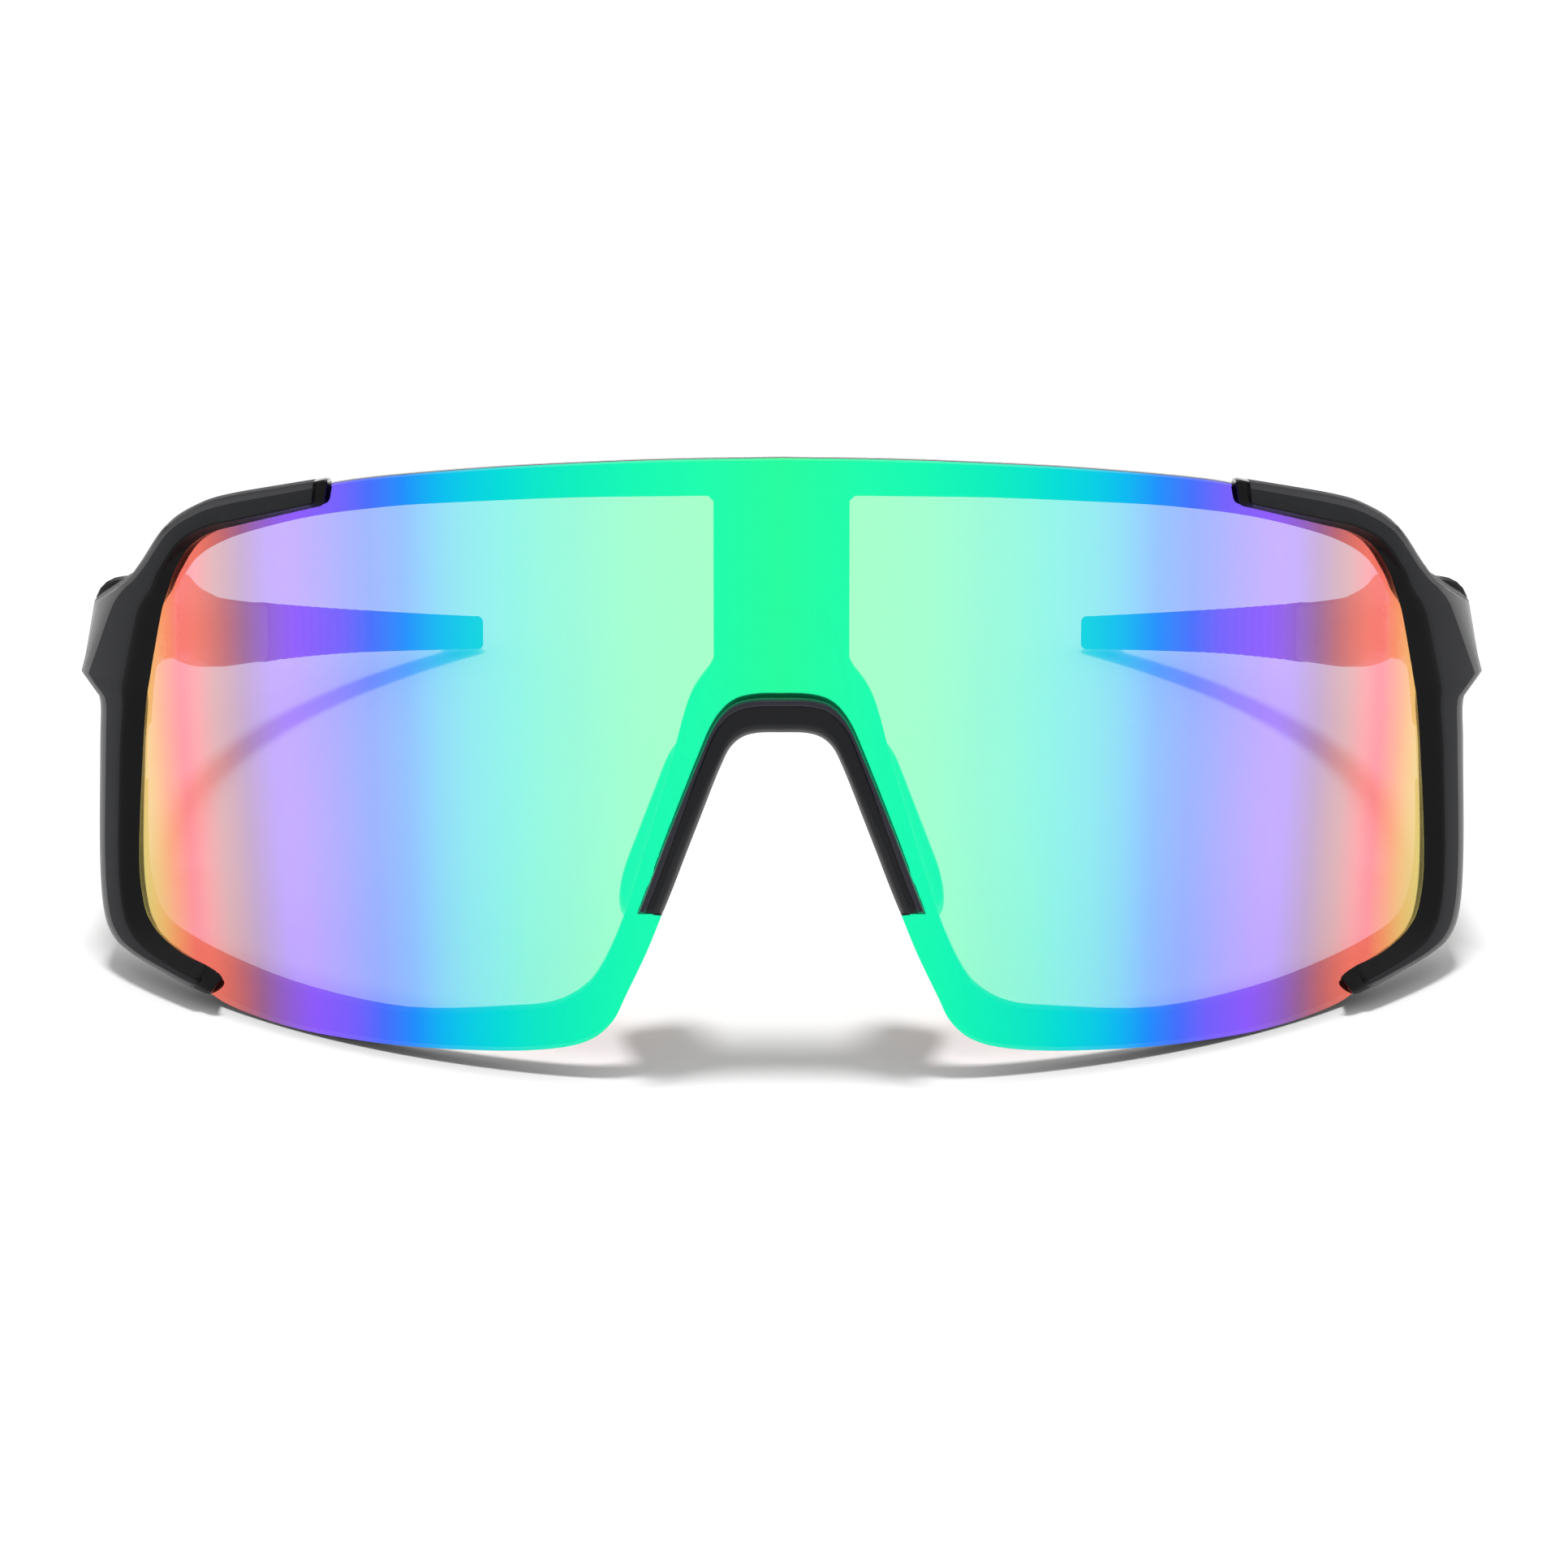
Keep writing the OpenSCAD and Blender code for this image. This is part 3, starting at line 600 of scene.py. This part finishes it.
def hinge_lug(bm):
    """The block behind the clamp that carries the hinge."""
    low, high = 30.4, 42.2
    inside = 66.6
    outside = 73
    plan = [(inside, 38.2), (70.4, 40.4), (outside, 43.2), (outside, LUG_BACK), (inside, LUG_BACK)]
    part = bmesh.new()
    filled(part, [(x, y, low) for x, y in plan])
    thickened(part, (0, 0, high - low))
    # Its end is cut to the clamp's outline.
    for (x0, z0), (x1, z1) in (((67.6, high), (71.5, 39.7)), ((71.5, 39.7), (outside, 32.3)),
                               ((outside, 32.3), (70.9, low))):
        cut_away(part, (x0, 0, z0), (z0 - z1, 0, x1 - x0))
    bmesh.ops.recalc_face_normals(part, faces=part.faces)
    soften(part, rim_edges(part, 20), 0.35, 3)
    mesh = bpy.data.meshes.new("lug")
    part.to_mesh(mesh)
    part.free()
    before = set(bm.verts)
    bm.from_mesh(mesh)
    bpy.data.meshes.remove(mesh)
    return [v for v in bm.verts if v not in before]


def rim_outline():
    """Half outline of the rear rim and its window, open where a clamp covers it at the side."""
    inside_clamp, shown, under, slim = (beside(LENS_OUTER, gap) for gap in (-0.8, 0.3, -0.4, 0.08))
    edge = []
    for i, (x, z) in enumerate(shown):
        if inside_clamp[i][0] > 50 and inside_clamp[i][1] > 3.4:
            edge.append(inside_clamp[i])
        elif slim[i][0] < 18.5 and slim[i][1] < 40:
            edge.append(slim[i])
        else:
            edge.append(under[i] if under[i][1] > 40 else (x, z))
    top = [p for p in edge if p[1] > 27]
    low = [p for p in edge if p[1] < 21]
    bar = [(7.1, 54.4), (6.6, 53.9), (6.6, 38.4)]
    return top + WINDOW + bar + WINDOW_LOW + low + nose_notch()


def make_frame():
    """Rear rim with its windows, centre bar and nose arch, two side clamps and their lugs."""
    bm = bmesh.new()
    flat_plate(bm, whole(rim_outline()), SEAT, RIM_BACK + 0.03, 2.5)
    soften(bm, rim_edges(bm), 0.35, 2)
    bend(bm)
    # The rim plate takes the rear black with its painted shade.
    for f in bm.faces:
        # Upward faces along the top of the rim take the light grey: a painted highlight.
        upper_highlight = f.normal.z > 0.6 and f.calc_center_median().z > 0.045
        f.material_index = TOP_HIGHLIGHT if upper_highlight else REAR_SHADE
    for side in (1, -1):
        rings = laid(clamp_rings(), side)
        loft(bm, rings, lambda i, j: clamp_finish_and_shade(i, j, len(rings) - 1))
        before = set(bm.faces)
        for v in hinge_lug(bm):
            v.co = at_rest(side * v.co.x, v.co.y, v.co.z)
        for f in bm.faces:
            if f not in before:
                f.material_index = SATIN
    finish_piece("frame_front", bm, FRAME_FINISHES_AND_PAINTED_LIGHT, "front", ["main_frame"], sharp=32)


# ---------------------------------------------------------------- saddle and pads

def make_saddle():
    """The rubber bridge: outer lip, sloped face, rounded inner band, wall and rear flange."""
    row = list(zip(NOSE, NOSE_OUT))
    row += [((-n[0], n[1]), (-o[0], o[1])) for n, o in reversed(row[:-1])]
    last = len(row) - 1
    rings = []
    for i, (n, o) in enumerate(row):
        width = sqrt((o[0] - n[0]) ** 2 + (o[1] - n[1]) ** 2)
        # The wall through the opening, the rounded band and the lip, as shares of the width.
        wall = 0.8 / width
        band = 0.95 / width
        lip = 1 - 0.55 / width
        # Both ends of the front come down to the lens.
        end = min(min(i, last - i) / 2.0, 1.0)
        up = 0.35 + 0.65 * sqrt(1 - (1 - end) ** 2)
        # Sideways share and depth, from the lip over the front, through the opening, to the flange.
        rows = [
            (1.0, -0.03), (1.0, -0.75 * up), (0.985, -1.1 * up), (0.95, -1.28 * up),
            (lip, -1.3 * up), (lip - 0.03, -1.22 * up), (lip - 0.08, -0.95 * up),
            (lip - 0.12, -0.92 * up), (band + 0.1, -0.72 * up), (band, -0.66 * up),
            (band * 0.75, -0.5 * up), (band * 0.45, -0.2 * up), (band * 0.2, 0.35),
            (-0.02, 1.0), (-0.06, 1.9), (-0.08, 4.5), (-0.04, 5.05), (0.12, 5.2),
            (0.75, 5.2), (0.9, 5.1), (0.94, 4.85), (0.94, 4.5), (wall, 4.5), (wall, -0.03)]
        ring = []
        for share, depth in rows:
            x, z = between(n, o, share)
            ring.append(on_shell(x, depth, z))
        rings.append(ring)
    bm = bmesh.new()
    # Faces 1 to 4 are the outer lip, with its painted purple sheen; faces 9 to 14 are the rounded inner
    # band.
    loft(bm, laid(rings, 1), lambda i, j: 1 if 9 <= j < 15 else 2 if 1 <= j < 5 else 0)
    finish_piece("nose_bridge", bm, [saddle_rubber, saddle_band, saddle_lip], "front",
                 ["nose_saddle"], sharp=40)


def make_pad(name, side, cad):
    """A soft wing that flares back from a leg of the bridge and lies along the nose."""
    middle_x, middle_z = between(LEG_HEAD, LEG_FOOT, 0.5)
    start = Vector(on_shell(middle_x + 1.3, 5.2, middle_z))
    leg_lean = atan2(LEG_FOOT[0] - LEG_HEAD[0], LEG_HEAD[1] - LEG_FOOT[1])
    splay = radians(14)
    turn = Matrix.Rotation(-leg_lean, 4, 'Y') @ Matrix.Rotation(-splay, 4, 'Z')
    # Side outline: reach behind the leg, then place along it, with two rounded far corners.
    low, high = -9.5, 9.5
    quarter = [k * pi / 16 for k in range(9)]
    outline = [(-0.2, low + 1.2), (-0.2, high - 1.8), (1.2, high - 0.2)]
    outline += [(6 + 4 * sin(a), high - 4 + 4 * cos(a)) for a in quarter]
    outline += [(5 + 5 * cos(a), low + 5 - 5 * sin(a)) for a in quarter]
    outline += [(1.2, low + 0.2)]
    bm = bmesh.new()
    filled(bm, [(-1.0, y, z) for y, z in outline])
    thickened(bm, (2.0, 0, 0))
    soften(bm, rim_edges(bm, 60), 0.7, 4)
    wide = [f for f in bm.faces if f.calc_area() > 80]
    bmesh.ops.inset_region(bm, faces=wide, thickness=0.55, depth=0.0, use_even_offset=True)
    bmesh.ops.inset_region(bm, faces=wide, thickness=0.35, depth=-0.22, use_even_offset=True)
    for v in bm.verts:
        # The wing curls gently outwards towards its free edge.
        v.co.x += 0.002 * max(v.co.y, 0) ** 2
        p = start + turn @ v.co
        v.co = at_rest(side * p.x, p.y, p.z)
    finish_piece(name, bm, [pad_rubber], "front", [cad], sharp=50)


# ---------------------------------------------------------------- temples

# Places behind the front of the upright drawing.
TEMPLE_START = 47.31
BEND_START = 77.56
GRIP_START = 112.257
TEMPLE_END = 152.06
# The inward bend: sideways place of its middle, and its radius to the middle of the wall.
BEND_MIDDLE = -37.738
BEND_RADIUS = 106.238
HALF_WALL = 1.9
# Height of the middle of the tip.
TIP_MIDDLE = 21.593
# Edges of the side outline: share of the length, then height above the middle line.
TEMPLE_TOP = curve([
    (0, 4.7), (0.06, 4.98), (0.17, 5.4), (0.28, 5.75), (0.346, 5.8), (0.362, 5.55), (0.38, 5.1),
    (0.42, 4.4), (0.46, 3.9), (0.5, 3.45), (0.62, 3.05), (0.8, 2.55), (0.97, 2.02), (1.0, 1.9)], 6)
TEMPLE_LOW = curve([
    (0, -4.5), (0.06, -4.35), (0.17, -4), (0.28, -3.65), (0.346, -3.5), (0.4, -3.95), (0.46, -4.5),
    (0.5, -4.6), (0.55, -4.35), (0.62, -3.85), (0.7, -3.25), (0.8, -2.6), (0.9, -2.2), (0.97, -2.0),
    (1.0, -1.95)], 6)


def height_at(row, u):
    """Height of an edge of the side outline at a share of the length."""
    for (a, p), (b, q) in zip(row, row[1:]):
        if u <= b:
            return p + (q - p) * (u - a) / (b - a)
    return row[-1][1]


def rounded(x0, x1, z0, z1, inner, outer, upper):
    """A rounded cross-section with softer corners outside, the upper one softest."""
    points = []
    corners = (
        (x1 - upper, z1 - upper, upper, 0), (x0 + inner, z1 - inner, inner, 1),
        (x0 + inner, z0 + inner, inner, 2), (x1 - outer, z0 + outer, outer, 3))
    for cx, cz, r, quarter in corners:
        for k in range(6):
            a = (quarter + k / 5) * pi / 2
            points.append((cx + r * cos(a), cz + r * sin(a)))
        if quarter == 3:
            points.append((x1, (z0 + z1) / 2))
    return points


def temple_section(y, grow):
    """The rounded ring of a temple, the given distance back, made fatter by grow."""
    u = (y - TEMPLE_START) / (TEMPLE_END - TEMPLE_START)
    middle = PIN_HEIGHT + u * (TIP_MIDDLE - PIN_HEIGHT)
    if y < BEND_START:
        t = (y - TEMPLE_START) / (BEND_START - TEMPLE_START)
        outer = 72.6 - 2.2 * t
        # The inner face stands back beside the hinge, then steps in.
        step = min(max((y - 51.5) / 0.9, 0.0), 1.0)
        inner = 68.65 - 2.05 * step
    else:
        outer = BEND_MIDDLE + sqrt((BEND_RADIUS + HALF_WALL) ** 2 - (y - BEND_START) ** 2)
        inner = BEND_MIDDLE + sqrt((BEND_RADIUS - HALF_WALL) ** 2 - (y - BEND_START) ** 2)
    top = middle + height_at(TEMPLE_TOP, u)
    low = middle + height_at(TEMPLE_LOW, u)
    wall = outer - inner
    near = min(0.7, wall * 0.3)
    soft = min(1.3, wall * 0.38)
    upper = max(soft, min(3.1, wall * 0.78) - 0.07 * (y - TEMPLE_START))
    ring = rounded(inner - grow, outer + grow, low - grow, top + grow, near, soft, upper)
    return [(x, y, z) for x, z in ring]


def shrunk(ring, share, ahead):
    """The ring drawn in about its middle and moved back, to round off an end."""
    count = len(ring)
    cx, cz = sum(p[0] for p in ring) / count, sum(p[2] for p in ring) / count
    return [(cx + (x - cx) * share, y + ahead, cz + (z - cz) * share) for x, y, z in ring]


def make_temple(name, side, body, cad):
    """A temple: deep at the hinge, thinning and bending in towards the ear."""
    rings = [shrunk(temple_section(TEMPLE_START, 0), 0.93, 0.0),
             shrunk(temple_section(TEMPLE_START + 0.35, 0), 1.0, 0.0)]
    y = TEMPLE_START + 0.8
    while y < GRIP_START:
        rings.append(temple_section(y, 0))
        y += 0.45 if 51 < y < 53 else 1.1
    # The core runs on into the grip.
    rings.append(temple_section(GRIP_START, 0))
    rings.append(temple_section(GRIP_START + 0.02, -0.6))
    rings.append(temple_section(GRIP_START + 3, -0.8))
    bm = bmesh.new()
    loft(bm, laid(rings, side))
    finish_piece(name, bm, [temple_plastic], body, [cad], sharp=40)


def make_grip(name, side, body, cad):
    """The rubber sleeve over the rear of a temple, with a band of fine ribs and a rounded tip."""
    rings = [temple_section(GRIP_START + 0.15, -0.35), temple_section(GRIP_START + 0.15, 0.0),
             temple_section(GRIP_START + 0.4, 0.12)]
    y = GRIP_START + 1.2
    while y < TEMPLE_END - 2.4:
        ribbed = GRIP_START + 4 < y < GRIP_START + 22
        groove = 0.16 if ribbed and len(rings) % 4 > 1 else 0
        rings.append(temple_section(y, 0.1 - groove))
        y += 0.45 if ribbed else 1.0
    tip = temple_section(TEMPLE_END - 2.2, 0.1)
    for share, ahead in ((1.0, 0), (0.97, 0.75), (0.9, 1.35), (0.78, 1.8), (0.6, 2.08), (0.35, 2.18)):
        rings.append(shrunk(tip, share, ahead))
    bm = bmesh.new()
    loft(bm, laid(rings, side))
    finish_piece(name, bm, [grip_rubber], body, [cad], sharp=40)


def finish_hinge(side_name):
    """The hinge leaves and screws keep their own shape, with eased edges and a dark metal finish."""
    for kind in ("frame_leaf_", "temple_leaf_", "hinge_screw_", "frame_leaf_screws_", "temple_leaf_screws_"):
        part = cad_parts[kind + side_name]
        part.data.materials.clear()
        part.data.materials.append(hinge_steel)
        ease = part.modifiers.new("eased", 'BEVEL')
        ease.width = 0.12 * MM
        ease.segments = 2
        ease.limit_method = 'ANGLE'


make_lens()
make_frame()
make_saddle()
for word, side in (("left", 1), ("right", -1)):
    make_pad("pad_wing_" + word, side, "nose_pad_" + word)
    make_temple("arm_" + word, side, word + "_temple", "temple_" + word)
    make_grip("ear_sleeve_" + word, side, word + "_temple", "ear_grip_" + word)
    finish_hinge(word)


# ---------------------------------------------------------------- studio

scene = bpy.context.scene
scene.view_settings.view_transform = 'Standard'
scene.view_settings.look = 'None'


def light_the_room():
    """Pale all round; what shiny faces see is brightest in front and overhead, and dim behind."""
    world = bpy.data.worlds.new("studio")
    scene.world = world
    world.use_nodes = True
    t = world.node_tree
    t.nodes.clear()
    out = node(t, "ShaderNodeOutputWorld", (400, 0))
    glow = node(t, "ShaderNodeBackground", (200, 0), Color=(1, 1, 1, 1))
    path = node(t, "ShaderNodeLightPath", (-500, 200))
    direction = node(t, "ShaderNodeTexCoord", (-900, -100))
    split = node(t, "ShaderNodeSeparateXYZ", (-700, -100))
    t.links.new(direction.outputs["Generated"], split.inputs[0])
    behind = ranged(t, split.outputs["Y"], (0.2, 0.5), (1.47, 0.2), (-500, -50))
    above = ranged(t, split.outputs["Z"], (0.55, 0.9), (0, 2.2), (-500, -300))
    mirrored = sums(t, 'MAXIMUM', (-300, -150), behind, above)
    seen = ranged(t, path.outputs["Is Camera Ray"], (0, 1), (0.78, 1.05), (-300, 150))
    mix = node(t, "ShaderNodeMix", (0, 0), data_type='FLOAT')
    t.links.new(path.outputs["Is Glossy Ray"], mix.inputs["Factor"])
    t.links.new(seen, mix.inputs["A"])
    t.links.new(mirrored, mix.inputs["B"])
    t.links.new(mix.outputs["Result"], glow.inputs["Strength"])
    t.links.new(glow.outputs[0], out.inputs["Surface"])


def lay_floor():
    """A plain white floor, lifted a little where the lens mirrors it so that it meets the room evenly."""
    mesh = bpy.data.meshes.new("floor")
    bm = bmesh.new()
    bmesh.ops.create_grid(bm, x_segments=1, y_segments=1, size=3.0)
    bm.to_mesh(mesh)
    bm.free()
    floor = bpy.data.objects.new("floor", mesh)
    scene.collection.objects.link(floor)
    m, t, shader = new_material("floor_white")
    shader.inputs["Base Color"].default_value = (0.82, 0.82, 0.82, 1)
    shader.inputs["Roughness"].default_value = 0.9
    shader.inputs["Specular IOR Level"].default_value = 0.0
    shader.inputs["Emission Color"].default_value = (1, 1, 1, 1)
    path = node(t, "ShaderNodeLightPath", (-300, -200)).outputs
    mirrored = sums(t, 'SUBTRACT', (-200, -200), path["Is Glossy Ray"], path["Is Transmission Ray"],
                    clamp=True)
    lift = sums(t, 'MULTIPLY', (-100, -200), mirrored, 0.26)
    t.links.new(lift, shader.inputs["Emission Strength"])
    mesh.materials.append(m)


def hang_light():
    """One soft light from overhead, a touch in front."""
    data = bpy.data.lights.new("overhead", 'SUN')
    data.energy = 2.2
    data.angle = radians(11)
    light = bpy.data.objects.new("overhead", data)
    scene.collection.objects.link(light)
    light.location = (0, 0.1, 1)
    light.rotation_euler = Vector((0.01, 0.022, -1)).to_track_quat('-Z', 'Y').to_euler()


def place_camera():
    """The camera looks along a line 9 degrees above the lens's own straight-ahead."""
    aim_up = 26.5
    aside = 0.24
    distance = 520.0
    tilt = radians(9)
    eye = at_rest(aside, -distance * cos(tilt), aim_up + distance * sin(tilt))
    target = at_rest(aside, 0, aim_up)
    data = bpy.data.cameras.new("camera")
    data.sensor_width = 36
    data.lens = 122.76
    data.clip_start = 0.01
    camera = bpy.data.objects.new("camera", data)
    scene.collection.objects.link(camera)
    camera.location = eye
    camera.rotation_euler = (target - eye).to_track_quat('-Z', 'Y').to_euler()
    scene.camera = camera


light_the_room()
lay_floor()
hang_light()
place_camera()
